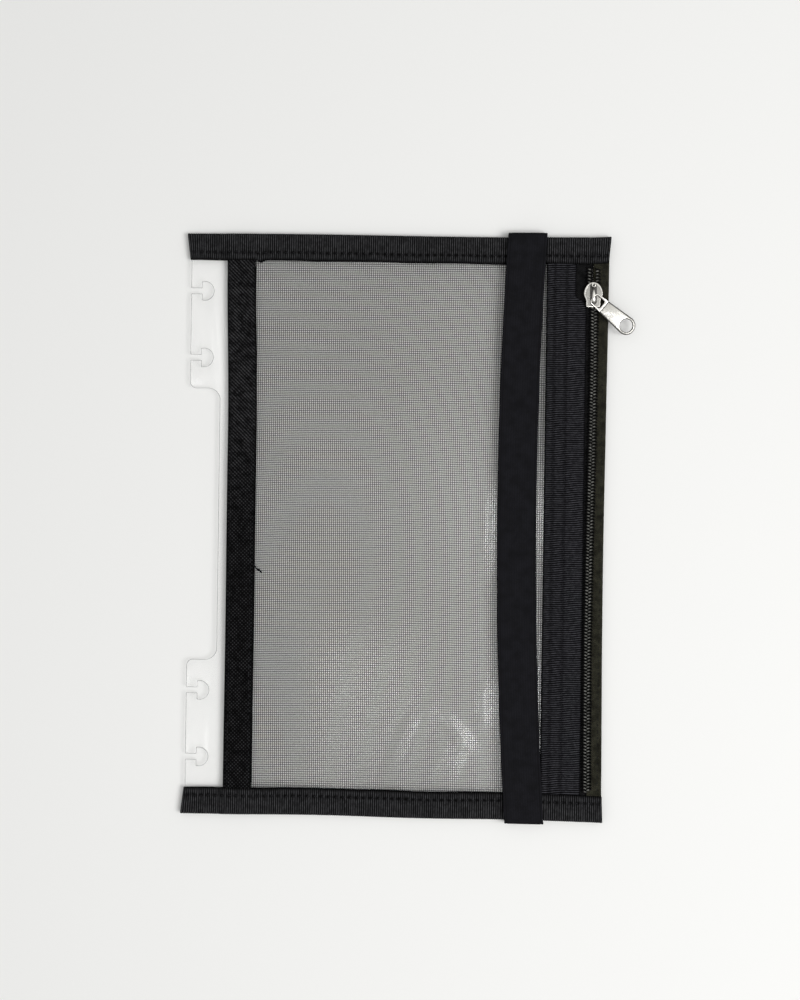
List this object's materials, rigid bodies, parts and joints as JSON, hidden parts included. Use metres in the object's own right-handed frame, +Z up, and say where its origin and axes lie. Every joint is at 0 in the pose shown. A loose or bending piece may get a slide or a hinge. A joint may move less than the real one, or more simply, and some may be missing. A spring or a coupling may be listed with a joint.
{
  "type": "zip wallet for a disc-bound notebook",
  "caption": "Flat zip wallet with a see-through mesh front, ribbon-bound edges, a clear slotted strip for disc binding, a sliding zip with a pull tab, and an elastic band.",
  "frame": {"origin": "on the table, under the middle of the outline from the bindings' left ends to the pull's tip", "axes": "+X from the binder strip to the zip, +Y up the page, +Z up from the table, out of the front"},
  "size_m": [0.1696, 0.223, 0.0072],
  "materials": {
    "grosgrain": "black ribbed ribbon",
    "twill_tape": "black diagonal twill tape",
    "mesh_cloth": "black see-through woven mesh",
    "clear_film": "clear flexible film",
    "clear_strip": "clear die-cut sheet",
    "zip_tape": "black woven zip tape",
    "nylon_coil": "black nylon coil",
    "plated_metal": "bright plated die casting",
    "elastic": "matte black flat elastic",
    "thread": "black sewing thread"
  },
  "bodies": {
    "wallet": {"back_sheet": "clear_film", "front_mesh": "mesh_cloth", "binder_strip": "clear_strip", "side_tape_front": "twill_tape", "side_tape_back": "twill_tape", "side_tape_thread": "thread", "top_binding": "grosgrain", "top_binding_thread": "thread", "bottom_binding": "grosgrain", "bottom_binding_thread": "thread", "zip_facing": "grosgrain", "facing_thread": "thread", "zip_tape_left": "zip_tape", "zip_tape_right": "zip_tape", "zip_edge_thread": "thread", "zip_coil_left": "nylon_coil", "zip_coil_right": "nylon_coil"},
    "slider": {"slider_body": "plated_metal"},
    "pull": {"pull_tab": "plated_metal"},
    "band": {"elastic_band": "elastic"}
  },
  "joints": [
    {"name": "zip_slide", "type": "slide", "parent": "wallet", "child": "slider", "axis": [0, 1, 0], "range_m": [-0.1826, 0.0064], "deforming": ["zip_coil_left", "zip_coil_right"]},
    {"name": "pull_lift", "type": "hinge", "parent": "slider", "child": "pull", "pos_m": [0.06885, 0.08704, 0.00595], "axis": [-0.6293, -0.7771, 0], "range_deg": [0, 100]},
    {"name": "band_slide", "type": "slide", "parent": "wallet", "child": "band", "axis": [1, 0, 0], "range_m": [-0.11965, 0.01445]}
  ]
}
